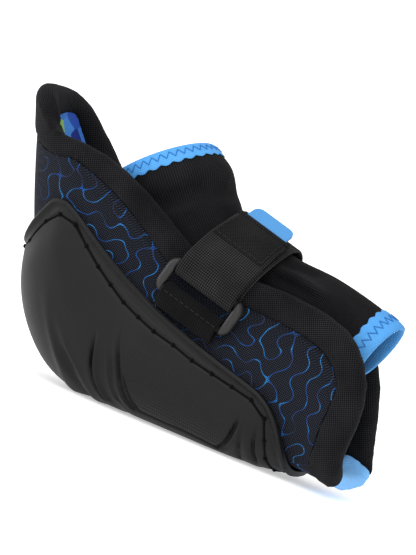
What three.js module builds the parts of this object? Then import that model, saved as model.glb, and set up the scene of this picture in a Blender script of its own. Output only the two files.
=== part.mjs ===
// Hockey elbow pad: a padded arm shell with a rolled binding, a moulded elbow cap sewn on its back,
// a stretch sleeve inside it, and an elastic strap that closes over the crook of the arm.
// Millimetres, +Z up. X runs along the forearm towards the hand and Y across the arm, with the strap's
// ring on the -Y side. The pad lies on the flat of its cap, which is Z = 0.
import * as THREE from "three";

// Driving dimensions
const GAP = 0.35; // between pieces that are sewn or laid together
const EDGE_GAP = 1.2; // between the shell's cut edge and the roll that covers it
const PANEL = 6; // foam of the arm shell with its printed face
const LINING = 1.2;
const STACK = PANEL + GAP + LINING; // the whole wall of the shell
const BINDING_REACH = 12; // how far the rolled binding covers the shell's edge
// How far a roll stands proud of the shell's two faces, how far it is sunk in, and its reach past the edge
const BINDING_ROLL = { swell: 1, sunk: 0, nose: 2.6 };
const GUSSET_ROLL = { swell: -0.6, sunk: 1.2, nose: 1 };
const SEAM_PULL = 0.7; // how flat a roll lies along its seam, as a share of its swell
const NOSE_STEPS = 4;
const BINDING_SPREAD = 9; // how much further it reaches at the forearm end
const SPREAD_FROM = 8; // the shell row where it starts to widen
const CAP_SEAT = 1; // room between the shell's printed face and the cap
const CAP_FLANGE = 3; // thin rim of the cap, where it is sewn down
const CAP_FLANGE_WIDTH = 10;
const CAP_STEP = 2.4; // rise from the rim to the dome
const CAP_STEP_WIDTH = 4;
const CAP_DOME = 4.6; // further rise to the middle of the dome
const CAP_DOME_WIDTH = 32;
const SLEEVE = 1.8;
const CUFF = 3.2; // fold-over elastic at the sleeve's two mouths
const STRAP_WIDTH = 40;
const STRAP = 2;
const WEBBING = 1.8;
const RING = { length: 51, height: 21, bar: 4.4, thick: 4.4, corner: 6, round: 1.1 };
const TAB = { width: 28, thick: 1.8 };

const SHELL_SIDE = 7; // grid steps from the back of the arm to one edge

// A table's rows as objects with named columns
const table = (columns, rows) =>
  rows.map((row) => Object.fromEntries(columns.map((name, i) => [name, row[i]])));

// The value of one column at a place between rows, on a smooth curve through them
function column(rows, name, place) {
  const at = Math.min(Math.max(place, 0), rows.length - 1);
  const i = Math.min(Math.floor(at), rows.length - 2);
  const t = at - i;
  const pick = (k) => rows[Math.min(Math.max(k, 0), rows.length - 1)][name];
  const [p0, p1, p2, p3] = [pick(i - 1), pick(i), pick(i + 1), pick(i + 2)];
  const slope1 = (p2 - p0) / 2;
  const slope2 = (p3 - p1) / 2;
  const rise = p2 - p1;
  return p1 + t * (slope1 + t * (3 * rise - 2 * slope1 - slope2 + t * (slope1 + slope2 - 2 * rise)));
}

const steps = (count, from = 0, to = 1) =>
  Array.from({ length: count + 1 }, (_, i) => from + ((to - from) * i) / count);
const smooth = (x) => {
  const t = Math.min(Math.max(x, 0), 1);
  return t * t * (3 - 2 * t);
};

// Arm shell: sections seen from the side, each two lines from the back of the arm to the open edge, one on
// the near side (-Y) and one on the far side. half is the section's half width, round the depth over which
// its back rounds into its sides, and edge the half width at the open edge.
const SHELL = table(
  ["backX", "backZ", "nearX", "nearZ", "farX", "farZ", "half", "round", "edge"],
  [
    [-145, 151, -131, 141, -130, 149, 31, 28, 29],
    [-140, 134, -118, 132, -120, 139, 34, 31, 31],
    [-132, 110, -97, 131, -104, 125, 36, 34, 31],
    [-122, 83, -63, 121, -77, 110, 38, 38, 32],
    [-107, 51, -32, 105, -38, 101, 40, 41, 33],
    [-79, 17, -13, 95, -13, 94, 40, 42, 33],
    [-46, 9, 9, 93.5, 8, 93, 40, 41, 33],
    [0, 9, 35, 94, 33, 94, 39, 40, 33],
    [46, 8, 59, 93, 56, 92, 38, 39, 32],
    [78, 7, 82, 88, 76, 85, 37, 38, 31],
    [95, 6, 97.5, 74, 88, 71, 36, 28, 31],
    [105.5, 5, 107.5, 56, 97, 53, 35, 17, 31],
  ],
);
const SQUARE = 2.4; // 2 is a round back, more is a flatter one

const section = (u, side) => {
  const [edgeX, edgeZ] = side > 0 ? ["farX", "farZ"] : ["nearX", "nearZ"];
  const back = new THREE.Vector2(column(SHELL, "backX", u), column(SHELL, "backZ", u));
  const along = new THREE.Vector2(column(SHELL, edgeX, u), column(SHELL, edgeZ, u)).sub(back);
  return { back, along: along.clone().normalize(), depth: along.length() };
};

function halfWidth(u, depth, side) {
  const [half, round, edge] = ["half", "round", "edge"].map((name) => column(SHELL, name, u));
  const inside = 1 - Math.min(depth / round, 1);
  const swell = (1 - inside ** SQUARE) ** (1 / SQUARE);
  const closing = smooth((depth - round) / Math.max(section(u, side).depth - round, 1));
  return swell * (half + (edge - half) * closing);
}

// A point on the shell's outer face; side is -1 for the ring's side and +1 for the other
function onShell(u, depth, side) {
  const { back, along } = section(u, side);
  const spot = back.addScaledVector(along, depth);
  return new THREE.Vector3(spot.x, side * halfWidth(u, depth, side), spot.y);
}

// The section and depth of a point seen from the side
const HALVINGS = 40;
function placeOf(x, z, side) {
  const spot = new THREE.Vector2(x, z);
  const turn = (u) => {
    const { back, along } = section(u, side);
    return along.cross(spot.clone().sub(back));
  };
  let low = 0;
  let high = SHELL.length - 1;
  for (let i = 0; i < HALVINGS; i += 1) {
    const middle = (low + high) / 2;
    if (turn(middle) < 0) low = middle;
    else high = middle;
  }
  const { back, along } = section(low, side);
  return { u: low, depth: Math.max(spot.sub(back).dot(along), 0) };
}

// The outward normals of a grid of points; rows run along the arm, columns from -Y over the back to +Y
function normalsOf(grid) {
  const last = grid.length - 1;
  const end = grid[0].length - 1;
  return grid.map((row, i) =>
    row.map((_, j) => {
      const along = grid[Math.min(i + 1, last)][j].clone().sub(grid[Math.max(i - 1, 0)][j]);
      const across = row[Math.min(j + 1, end)].clone().sub(row[Math.max(j - 1, 0)]);
      return across.cross(along).normalize();
    }),
  );
}

function offset(grid, normals, by) {
  const height = by instanceof Function ? by : () => by;
  const lifted = (point, i, j) => point.clone().addScaledVector(normals[i][j], height(i, j));
  return grid.map((row, i) => row.map((point, j) => lifted(point, i, j)));
}

function geometryOf(points, faces) {
  const geometry = new THREE.BufferGeometry().setFromPoints(points);
  geometry.setIndex(faces.flat());
  return geometry;
}

// A closed wall between two grids of the same size, the first one on the outside
function wallBetween(outer, inner) {
  const rows = outer.length;
  const columns = outer[0].length;
  const points = [...outer.flat(), ...inner.flat()];
  const at = (layer, i, j) => layer * rows * columns + i * columns + j;
  const faces = [];
  const quad = (a, b, c, d) => faces.push([a, b, c], [a, c, d]);
  for (let i = 0; i + 1 < rows; i += 1)
    for (let j = 0; j + 1 < columns; j += 1) {
      quad(at(0, i, j), at(0, i, j + 1), at(0, i + 1, j + 1), at(0, i + 1, j));
      quad(at(1, i, j), at(1, i + 1, j), at(1, i + 1, j + 1), at(1, i, j + 1));
    }
  for (let j = 0; j + 1 < columns; j += 1) {
    quad(at(0, 0, j + 1), at(0, 0, j), at(1, 0, j), at(1, 0, j + 1));
    quad(at(0, rows - 1, j), at(0, rows - 1, j + 1), at(1, rows - 1, j + 1), at(1, rows - 1, j));
  }
  for (let i = 0; i + 1 < rows; i += 1) {
    quad(at(0, i, 0), at(0, i + 1, 0), at(1, i + 1, 0), at(1, i, 0));
    quad(at(0, i + 1, columns - 1), at(0, i, columns - 1), at(1, i, columns - 1), at(1, i + 1, columns - 1));
  }
  return geometryOf(points, faces);
}

// A closed body through rings of the same number of points, capped at both ends or closed on itself
function skinOf(rings, closed) {
  const around = rings[0].length;
  const points = rings.flat();
  const faces = [];
  const at = (i, j) => (i % rings.length) * around + (j % around);
  for (let i = 0; i + (closed ? 0 : 1) < rings.length; i += 1)
    for (let j = 0; j < around; j += 1)
      faces.push([at(i, j), at(i, j + 1), at(i + 1, j + 1)], [at(i, j), at(i + 1, j + 1), at(i + 1, j)]);
  if (!closed)
    for (let j = 1; j + 1 < around; j += 1) {
      faces.push([at(0, 0), at(0, j + 1), at(0, j)]);
      faces.push([at(rings.length - 1, 0), at(rings.length - 1, j), at(rings.length - 1, j + 1)]);
    }
  return geometryOf(points, faces);
}

// A point on the shell's outer face and the normal there; t runs from -1 at the -Y edge over the back of
// the arm to 1 at the +Y edge.
const faceAt = (u, t) => onShell(u, section(u, t).depth * (1 - Math.cos((t * Math.PI) / 2)), Math.sign(t));
function normalAt(u, t) {
  const small = 0.01;
  const along = faceAt(u + small, t).sub(faceAt(u - small, t));
  const across = faceAt(u, t + small).sub(faceAt(u, t - small));
  return across.cross(along).normalize();
}

// Edge of the shell: two runs from the guard's top to the forearm end, one on each side, with rounded corners
// at both ends. within is 0 on the edge itself and 1 along the seam where the binding ends.
const CORNER_STEPS = 4;
const SIDE_STEPS = 18;
const TOP_STEPS = 2 * SHELL_SIDE;
const END_STEPS = 8;
// Corners of the edge, in shell rows and in shares of the way round: how far the binding covers the end on
// each side, how much more than that the panel keeps clear of, and how far the corner rounds off
const TOP = { near: 2.05, far: 0.62, nearClear: 2.1, farClear: 0.75, along: 0.85, across: 0.5 };
const END = { near: 1.3, far: 1.3, nearClear: 0.8, farClear: 0.8, along: 1.1, across: 0.16 };
const CORNER_SHRINK = 0.75; // how much tighter a corner is along the seam

function edgeRun(within, side) {
  const last = SHELL.length - 1;
  const covered = ({ near, far }) => (side < 0 ? near : far) * Math.min(within, 1);
  const clear = ({ nearClear, farClear }) => (side < 0 ? nearClear : farClear) * Math.max(within - 1, 0);
  const [low, high] = [covered(TOP), last - covered(END)];
  const shrink = 1 - CORNER_SHRINK * Math.min(within, 1);
  const rim = (u) => {
    const reach = BINDING_REACH + BINDING_SPREAD * smooth((u - SPREAD_FROM) / (last - SPREAD_FROM));
    return side * (1 - (within * reach) / (section(u, side).depth * (Math.PI / 2)));
  };
  const corner = (end, u, inward) =>
    steps(CORNER_STEPS, 0, Math.PI / 2).map((angle) => {
      const spot = u + inward * end.along * shrink * (1 - Math.sin(angle));
      return [spot, rim(spot) - side * end.across * shrink * (1 - Math.cos(angle))];
    });
  const straight = steps(SIDE_STEPS, low + TOP.along * shrink, high - END.along * shrink).slice(1, -1);
  return [
    ...corner(TOP, low + clear(TOP), 1).reverse(),
    ...straight.map((u) => [u, rim(u)]),
    ...corner(END, high - clear(END), -1),
  ];
}

// A place between two edge places of one row; most of the row keeps to the far one's place along the arm
const acrossRow = (near, far, share) => {
  const kept = 1 - (1 - share) ** 2;
  return [near[0] + (far[0] - near[0]) * kept, near[1] + (far[1] - near[1]) * share];
};

// Places on the shell's face inside the binding: rows along the arm, columns from the -Y edge to the +Y edge
function shellPlaces() {
  const within = 1 + EDGE_GAP / BINDING_REACH;
  const [near, far] = [-1, 1].map((side) => edgeRun(within, side));
  return near.map((place, i) => steps(2 * SHELL_SIDE).map((share) => acrossRow(place, far[i], share)));
}

function armShell() {
  const places = shellPlaces();
  const face = places.map((row) => row.map(([u, t]) => faceAt(u, t)));
  const normals = places.map((row) => row.map(([u, t]) => normalAt(u, t)));
  const panel = wallBetween(face, offset(face, normals, -PANEL));
  const inner = -(PANEL + GAP);
  const lining = wallBetween(offset(face, normals, inner), offset(face, normals, inner - LINING));
  return { panel, lining };
}

// Rolled binding: a rounded bar along the shell's whole edge
function edgeLoop(within) {
  const [near, far] = [-1, 1].map((side) => edgeRun(within, side));
  const between = (count, k) =>
    steps(count).slice(1, -1).map((share) => acrossRow(near.at(k), far.at(k), share));
  return [
    ...between(END_STEPS, -1),
    ...far.toReversed(),
    ...between(TOP_STEPS, 0).reverse(),
    ...near,
  ].map(([u, t]) => ({ point: faceAt(u, t), normal: normalAt(u, t) }));
}

// The bar's ring of points at one place along the edge
function barRing({ edge, seam }, { swell, sunk, nose }) {
  const half = STACK / 2 + swell;
  const waist = half - Math.max(swell, 0) * SEAM_PULL;
  const out = edge.point.clone().sub(seam.point).normalize();
  const at = (place, along, up) =>
    place.point.clone().addScaledVector(out, along).addScaledVector(place.normal, up - sunk - STACK / 2);
  const round = steps(NOSE_STEPS, -Math.PI / 2, Math.PI / 2).map((a) =>
    at(edge, nose + half * (Math.cos(a) - 1), half * Math.sin(a)),
  );
  return [at(seam, 0, -waist), ...round, at(seam, 0, waist)];
}

// The black binding runs round the whole edge but for the bottom of the forearm end, where a gusset of blue
// stretch cloth takes its place.
const [GUSSET_FROM, GUSSET_TO] = [2, 5]; // places along the end where the gusset starts and stops

function bindings() {
  const seams = edgeLoop(1);
  const loop = edgeLoop(0).map((edge, k) => ({ edge, seam: seams[k] }));
  const blue = loop.slice(GUSSET_FROM, GUSSET_TO + 1);
  const black = [...loop.slice(GUSSET_TO), ...loop.slice(0, GUSSET_FROM + 1)];
  const drawn = [drawnIn(blue, 0), ...blue.slice(1, -1), drawnIn(blue, blue.length - 1)];
  const bar = (places, roll) => skinOf(places.map((place) => barRing(place, roll)), false);
  return { binding: bar(black, BINDING_ROLL), gusset: bar(drawn, GUSSET_ROLL) };
}

// An end place of a run of places, drawn in along the run by the edge's gap
function drawnIn(places, k) {
  const next = places[k === 0 ? 1 : k - 1];
  const drawn = (name) => {
    const inward = next[name].point.clone().sub(places[k][name].point).normalize();
    return { ...places[k][name], point: places[k][name].point.clone().addScaledVector(inward, EDGE_GAP) };
  };
  return { edge: drawn("edge"), seam: drawn("seam") };
}

// Elbow cap: sections from the middle of its back, at a place along the shell, to its rim on the side
const CAP = table(
  ["place", "rimX", "rimZ"],
  [
    [3.45, -102, 98],
    [3.8, -93, 99.5],
    [4.2, -77, 90.5],
    [4.8, -55, 77.5],
    [5.4, -27, 64.5],
    [6.1, 9, 53],
    [6.9, 37, 46],
    [7.65, 55, 41],
    [8.3, 67, 31.5],
    [8.7, 74, 19],
    [8.95, 77, 11],
  ],
);
const CAP_ROWS = 19;
const CAP_SIDE = 8;

function elbowCap() {
  const seat = steps(CAP_ROWS, 0, CAP.length - 1).map((v) => {
    const back = column(CAP, "place", v);
    return steps(2 * CAP_SIDE, -1, 1).map((t) => {
      const rim = placeOf(column(CAP, "rimX", v), column(CAP, "rimZ", v), t);
      const share = 1 - Math.cos((t * Math.PI) / 2);
      return onShell(back + (rim.u - back) * share, rim.depth * share, Math.sign(t));
    });
  });
  const normals = normalsOf(seat);
  const rims = seat.flatMap((row, i) =>
    row.filter((_, j) => i === 0 || i === CAP_ROWS || j === 0 || j === 2 * CAP_SIDE),
  );
  const thickness = (i, j) => {
    const fromRim = Math.min(...rims.map((rim) => rim.distanceTo(seat[i][j])));
    const step = CAP_STEP * smooth((fromRim - CAP_FLANGE_WIDTH) / CAP_STEP_WIDTH);
    return CAP_SEAT + CAP_FLANGE + step + CAP_DOME * smooth((fromRim - CAP_FLANGE_WIDTH) / CAP_DOME_WIDTH);
  };
  const outer = offset(seat, normals, thickness);
  outer.flat().forEach((point) => {
    point.z = Math.max(point.z, 0); // the flat that the pad lies on
  });
  return wallBetween(outer, offset(seat, normals, CAP_SEAT));
}

// Sleeve: oval sections along the arm. front is the way to the crook of the arm, in degrees from +X;
// deep is half the size along it and wide half the size across.
const SLEEVE_ROWS = table(
  ["x", "z", "front", "deep", "wide"],
  [
    [-65, 136, 40, 32, 20],
    [-54, 124, 42, 38, 21.5],
    [-40, 110, 46, 36, 22.5],
    [-23, 99, 54, 30.4, 22.5],
    [-1, 91.5, 68, 31, 22.4],
    [27, 86.5, 82, 29.5, 21.2],
    [54, 85.5, 84, 28.5, 19],
    [79, 84.5, 78, 24.5, 17],
    [97, 85, 68, 18.6, 14.5],
  ],
);
const SLEEVE_LEAN = 0.2; // how much higher the sleeve's -Y side stands, as a share of the way across
const LEAN_ROWS = 3; // sleeve rows over which that fades
// Folds of the sleeve's cloth: place along it, place round it in degrees from the front towards -Y,
// how far it spreads each way, and its height, below 0 for a dent.
const FOLDS = table(
  ["along", "round", "spreadAlong", "spreadRound", "height"],
  [
    [1.5, 75, 0.3, 45, -3.5],
    [1.1, 35, 0.5, 14, 2],
    [1.9, 20, 0.35, 30, -3],
    [5.6, 50, 1.1, 12, 2],
    [5.5, 75, 1.0, 14, -2],
    [3.4, 10, 0.3, 60, -2.5],
  ],
);
const SLEEVE_STEPS = 15;
const SLEEVE_ROUND = 20;
const CUFF_PLACES = [0.5, 7.32]; // where the two cuffs meet the sleeve's cloth

function foldHeight(along, round) {
  return FOLDS.reduce((sum, fold) => {
    const a = (along - fold.along) / fold.spreadAlong;
    const turn = ((round - fold.round + 540) % 360) - 180;
    const r = turn / fold.spreadRound;
    return sum + fold.height * Math.exp(-a * a - r * r);
  }, 0);
}

function sleeveRing(v, grow) {
  const names = ["x", "z", "front", "deep", "wide"];
  const [x, z, front, deep, wide] = names.map((name) => column(SLEEVE_ROWS, name, v));
  const angle = THREE.MathUtils.degToRad(front);
  return steps(SLEEVE_ROUND, 0, 360).slice(0, -1).map((round) => {
    const a = THREE.MathUtils.degToRad(round);
    const swell = grow + foldHeight(v, round);
    const forward = (deep + swell) * Math.cos(a);
    return new THREE.Vector3(
      x + forward * Math.cos(angle),
      -(wide + swell) * Math.sin(a),
      z + forward * Math.sin(angle) + SLEEVE_LEAN * wide * Math.sin(a) * smooth(1 - v / LEAN_ROWS),
    );
  });
}

function tube(from, to, count, outside, inside) {
  const places = steps(count, from, to);
  const outer = places.map((v) => sleeveRing(v, outside));
  const inner = places.map((v) => sleeveRing(v, inside));
  return skinOf([...outer, ...inner.reverse()], true);
}

// Strap, its ring and the webbing that holds the ring lie in a frame of their own: y is across the arm,
// up runs from the ring over the crook and wide along the arm.
const RING_SPOT = new THREE.Vector3(0, -40.9, 78.2);
const RING_LEAN = THREE.MathUtils.degToRad(4.8); // the ring lies along the shell's sloping side
const STRAP_TURN = THREE.MathUtils.degToRad(76.5); // from +X to the way up the strap
const UP = new THREE.Vector3(Math.cos(STRAP_TURN), 0, Math.sin(STRAP_TURN));
const WIDE = new THREE.Vector3(Math.sin(STRAP_TURN), 0, -Math.cos(STRAP_TURN));

const RIBBON_COLUMNS = 2;

function ribbon(rows, thick, perRow) {
  const places = steps((rows.length - 1) * perRow, 0, rows.length - 1);
  const middle = places.map((v) => new THREE.Vector2(column(rows, "y", v), column(rows, "up", v)));
  const grid = (side) =>
    places.map((v, i) => {
      const ahead = middle[Math.min(i + 1, middle.length - 1)];
      const behind = middle[Math.max(i - 1, 0)];
      const along = ahead.clone().sub(behind).normalize();
      const y = middle[i].x + side * along.y;
      const up = middle[i].y - side * along.x;
      return steps(RIBBON_COLUMNS, 0.5, -0.5).map((share) =>
        new THREE.Vector3(RING_SPOT.x, y, RING_SPOT.z)
          .addScaledVector(UP, up)
          .addScaledVector(WIDE, share * column(rows, "width", v)),
      );
    });
  return wallBetween(grid(thick / 2), grid(-thick / 2));
}

const STRAP_ROWS = table(
  ["y", "up", "width"],
  [
    [39.9, -18, STRAP_WIDTH],
    [38.8, -11, STRAP_WIDTH],
    [37.2, -2, STRAP_WIDTH],
    [36.7, 9, STRAP_WIDTH],
    [36.6, 17, STRAP_WIDTH],
    [31, 27, STRAP_WIDTH],
    [22, 36, STRAP_WIDTH],
    [11, 44.2, STRAP_WIDTH],
    [0, 47, STRAP_WIDTH],
    [-11, 44.2, STRAP_WIDTH],
    [-22, 36, STRAP_WIDTH],
    [-31.2, 27, STRAP_WIDTH],
    [-36.6, 17, STRAP_WIDTH],
    [-36.4, 9.5, STRAP_WIDTH],
    [-37.2, 5, STRAP_WIDTH],
    [-40.4, 3.2, STRAP_WIDTH],
    [-43.4, 5, STRAP_WIDTH],
    [-44.2, 9.5, STRAP_WIDTH],
    [-43, 16.5, STRAP_WIDTH],
    [-38.4, 24.8, STRAP_WIDTH - 1],
    [-31.5, 33, STRAP_WIDTH - 2],
    [-22.5, 41, STRAP_WIDTH - 4],
    [-11.6, 47.8, STRAP_WIDTH - 5],
  ],
);
const TAB_ROWS = table(
  ["y", "up", "width"],
  [
    [-11.1, 48.2, TAB.width],
    [-7.5, 50.5, TAB.width],
    [-4, 52.7, TAB.width - 2],
    [-2.8, 53.4, TAB.width - 9],
  ],
);
const WEBBING_ROWS = table(
  ["y", "up", "width"],
  [
    [-39.7, -18, STRAP_WIDTH],
    [-39, -14, STRAP_WIDTH],
    [-38.2, -9, STRAP_WIDTH],
    [-38.5, -5.2, STRAP_WIDTH],
    [-41.3, -3.5, STRAP_WIDTH],
    [-43.9, -4.9, STRAP_WIDTH],
    [-45.3, -8.5, STRAP_WIDTH],
    [-44.9, -12, STRAP_WIDTH],
    [-43.2, -15.5, STRAP_WIDTH],
    [-42.1, -18, STRAP_WIDTH],
  ],
);

function roundedRectangle(path, length, height, corner) {
  const [x, y] = [length / 2 - corner, height / 2 - corner];
  path.absarc(x, -y, corner, -Math.PI / 2, 0);
  path.absarc(x, y, corner, 0, Math.PI / 2);
  path.absarc(-x, y, corner, Math.PI / 2, Math.PI);
  path.absarc(-x, -y, corner, Math.PI, 1.5 * Math.PI);
  path.closePath();
  return path;
}

function ringGeometry() {
  const { round } = RING;
  const [length, height] = [RING.length - 2 * round, RING.height - 2 * round];
  const shape = roundedRectangle(new THREE.Shape(), length, height, RING.corner - round);
  const inside = RING.corner - RING.bar + round;
  shape.holes.push(
    roundedRectangle(
      new THREE.Path(),
      RING.length - 2 * (RING.bar - round),
      RING.height - 2 * (RING.bar - round),
      inside,
    ),
  );
  const geometry = new THREE.ExtrudeGeometry(shape, {
    depth: RING.thick - 2 * round,
    bevelThickness: round,
    bevelSize: round,
    bevelSegments: 1,
    curveSegments: 3,
  });
  return geometry.translate(0, 0, round - RING.thick / 2);
}

// The assembly
const pad = new THREE.Group();
function add(name, geometry, color, roughness, metalness = 0) {
  const mesh = new THREE.Mesh(geometry, new THREE.MeshStandardMaterial({ color, roughness, metalness }));
  mesh.name = name;
  pad.add(mesh);
  return mesh;
}

const BLACK_CLOTH = 0x1d1d20;
const BLUE_CLOTH = 0x5b9fe0;

const shell = armShell();
const edges = bindings();
add("arm_shell", shell.panel, 0x1e2230, 0.85);
add("shell_lining", shell.lining, 0x2f6fd0, 0.85);
add("shell_binding", edges.binding, BLACK_CLOTH, 0.9);
add("end_gusset", edges.gusset, BLUE_CLOTH, 0.8);
add("elbow_cap", elbowCap(), 0x333335, 0.6);

const [upperCuff, forearmCuff] = CUFF_PLACES;
const half = (CUFF - SLEEVE) / 2;
const clear = 0.03; // GAP as a share of a sleeve row
add("sleeve", tube(upperCuff + clear, forearmCuff - clear, SLEEVE_STEPS, 0, -SLEEVE), BLACK_CLOTH, 0.9);
add("sleeve_cuff_upper", tube(0, upperCuff, 2, half, half - CUFF), BLUE_CLOTH, 0.8);
add("sleeve_cuff_forearm", tube(forearmCuff, SLEEVE_ROWS.length - 1, 2, half, half - CUFF), BLUE_CLOTH, 0.8);

add("strap", ribbon(STRAP_ROWS, STRAP, 2), 0x232324, 0.9);
add("pull_tab", ribbon(TAB_ROWS, TAB.thick, 1), 0x4c93dd, 0.55);
add("ring_webbing", ribbon(WEBBING_ROWS, WEBBING, 2), 0x2a2a2b, 0.85);
const ring = add("strap_ring", ringGeometry(), 0x3a3a3b, 0.45);
ring.position.copy(RING_SPOT);
const ringUp = UP.clone().applyAxisAngle(WIDE, -RING_LEAN);
ring.setRotationFromMatrix(new THREE.Matrix4().makeBasis(WIDE, ringUp, WIDE.clone().cross(ringUp)));

export default pad;
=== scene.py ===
"""A hockey elbow pad, piece by piece in the order it is sewn together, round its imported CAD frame."""

import math

import bmesh
import bpy
import numpy as np
from mathutils import Euler, Matrix, Vector, noise
from mathutils.bvhtree import BVHTree


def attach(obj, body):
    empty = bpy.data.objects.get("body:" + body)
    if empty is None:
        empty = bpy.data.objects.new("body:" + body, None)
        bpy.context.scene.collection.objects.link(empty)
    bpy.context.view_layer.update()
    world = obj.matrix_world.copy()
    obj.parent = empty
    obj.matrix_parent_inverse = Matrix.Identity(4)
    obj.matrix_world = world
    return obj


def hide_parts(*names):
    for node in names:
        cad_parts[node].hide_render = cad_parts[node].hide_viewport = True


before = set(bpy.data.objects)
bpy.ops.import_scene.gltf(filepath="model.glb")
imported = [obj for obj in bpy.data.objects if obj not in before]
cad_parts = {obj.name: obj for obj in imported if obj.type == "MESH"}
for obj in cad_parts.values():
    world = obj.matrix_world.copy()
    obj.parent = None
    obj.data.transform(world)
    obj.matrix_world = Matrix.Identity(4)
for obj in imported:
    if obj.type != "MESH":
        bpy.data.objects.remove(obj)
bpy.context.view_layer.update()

# Stage: a wide white paper floor that the pad lies on, an even white sky and soft lamps. A long lens looks
# from the ring's side, a little above the floor, rolled so that the forearm points down to the right.
MM = 0.001
VIEW_TURN, VIEW_RISE, VIEW_ROLL = (math.radians(degrees) for degrees in (20, 4, 21))
PICTURE_HIGH = 310.8 * MM  # what the picture's height takes in at the pad
PICTURE_MIDDLE = (18.5 * MM, 86 * MM)  # the picture's middle, across and up from the frame's origin
CAMERA_AWAY = 4.0
SENSOR = 36.0  # in mm, as the lens is
FLOOR_RADIUS = 60.0
FLOOR_SIDES = 64
PAPER_GRAIN = 3 * MM
PAPER_TONES = (0.9, 0.93)
PAPER_GLOW = 0.45  # lifts the shadow on the paper
SKY_STRENGTH = 0.86
PAD_MIDDLE = (0, 0, 80 * MM)  # what the lamps are turned to
KEY_LAMP = {"place": (-0.3, -1.6, 2.3), "energy": 1.1, "angle": math.radians(50)}
LEFT_BOX = {"place": (-1.1, -0.5, 0.45), "energy": 6, "size": 0.8}
FRONT_BOX = {"place": (0.5, -1.6, 0.7), "energy": 6, "size": 0.9}


def linear(colour):
    """An sRGB hex colour as linear RGB with full alpha."""
    shares = [int(colour[i:i + 2], 16) / 255 for i in (1, 3, 5)]
    return [s / 12.92 if s <= 0.04045 else ((s + 0.055) / 1.055) ** 2.4 for s in shares] + [1]


def add_node(tree, kind, inputs=None, to=None, stops=(), **settings):
    """A new shader node of a kind, with its settings and colour stops.

    An input is a constant, a socket or a node's first output, and to is the socket that the node feeds.
    """
    made = tree.nodes.new("ShaderNode" + kind)
    for name, value in settings.items():
        setattr(made, name, value)
    for name, value in (inputs or {}).items():
        into = next(s for k, s in enumerate(made.inputs) if s.enabled and name in (k, s.name))
        if isinstance(value, bpy.types.Node):
            value = next(s for s in value.outputs if s.enabled)
        if isinstance(value, bpy.types.NodeSocket):
            tree.links.new(value, into)
        else:
            into.default_value = value
    for k, (spot, colour) in enumerate(stops):
        stop = made.color_ramp.elements[k] if k < 2 else made.color_ramp.elements.new(spot)
        stop.position = spot
        stop.color = linear(colour)
    if to:
        tree.links.new(next(s for s in made.outputs if s.enabled), to)
    return made


def new_material(name, roughness, **sockets):
    """A material whose shader has these constant values, with its tree and its shader."""
    material = bpy.data.materials.new(name)
    material.use_nodes = True
    shader = material.node_tree.nodes["Principled BSDF"]
    for socket, value in {"Roughness": roughness, **sockets}.items():
        shader.inputs[socket].default_value = value
    return material, material.node_tree, shader


def new_piece(name, mesh):
    piece = bpy.data.objects.new(name, mesh)
    bpy.context.scene.collection.objects.link(piece)
    return piece


across = Vector((math.cos(VIEW_TURN), math.sin(VIEW_TURN), 0))
away = Vector((math.sin(VIEW_TURN), -math.cos(VIEW_TURN), 0)) * math.cos(VIEW_RISE)
away.z = math.sin(VIEW_RISE)
upward = away.cross(across)
picture_right = across * math.cos(VIEW_ROLL) + upward * math.sin(VIEW_ROLL)
picture_up = upward * math.cos(VIEW_ROLL) - across * math.sin(VIEW_ROLL)
camera = bpy.data.objects.new("camera", bpy.data.cameras.new("camera"))
camera.data.sensor_width = SENSOR
camera.data.lens = SENSOR * CAMERA_AWAY / PICTURE_HIGH
camera.data.clip_end = 2 * FLOOR_RADIUS
camera.matrix_world = Matrix((picture_right, picture_up, away)).transposed().to_4x4()
camera.location = picture_right * PICTURE_MIDDLE[0] + picture_up * PICTURE_MIDDLE[1] + away * CAMERA_AWAY
bpy.context.scene.collection.objects.link(camera)
bpy.context.scene.camera = camera
bpy.context.scene.view_settings.view_transform = "Standard"  # colours show as they are, with no film curve

floor_mesh = bpy.data.meshes.new("floor")
bm = bmesh.new()
bmesh.ops.create_circle(bm, cap_ends=True, segments=FLOOR_SIDES, radius=FLOOR_RADIUS)
bm.to_mesh(floor_mesh)
bm.free()
floor = new_piece("floor", floor_mesh)
paper, tree, shader = new_material(
    "white_paper", roughness=1.0,
    **{"Specular IOR Level": 0.0, "Emission Color": linear("#ffffff"), "Emission Strength": PAPER_GLOW},
)
place = add_node(tree, "TexCoord").outputs["Object"]
fibres = add_node(tree, "TexNoise", {"Vector": place, "Scale": 1 / PAPER_GRAIN, "Detail": 2.0})
add_node(
    tree, "MapRange", {"Value": fibres, "To Min": PAPER_TONES[0], "To Max": PAPER_TONES[1]},
    to=shader.inputs["Base Color"],
)
floor_mesh.materials.append(paper)

sky = bpy.data.worlds.new("sky")
sky.use_nodes = True
sky.node_tree.nodes["Background"].inputs["Color"].default_value = linear("#ffffff")
sky.node_tree.nodes["Background"].inputs["Strength"].default_value = SKY_STRENGTH
bpy.context.scene.world = sky


def add_lamp(name, kind, place, **settings):
    """A lamp that is turned to the pad's middle."""
    lamp = bpy.data.objects.new(name, bpy.data.lights.new(name, kind))
    for setting, value in settings.items():
        setattr(lamp.data, setting, value)
    lamp.location = place
    lamp.rotation_euler = (Vector(PAD_MIDDLE) - Vector(place)).to_track_quat("-Z", "Y").to_euler()
    bpy.context.scene.collection.objects.link(lamp)


add_lamp("key", "SUN", **KEY_LAMP)
add_lamp("left_box", "AREA", **LEFT_BOX)
add_lamp("front_box", "AREA", **FRONT_BOX)

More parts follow.
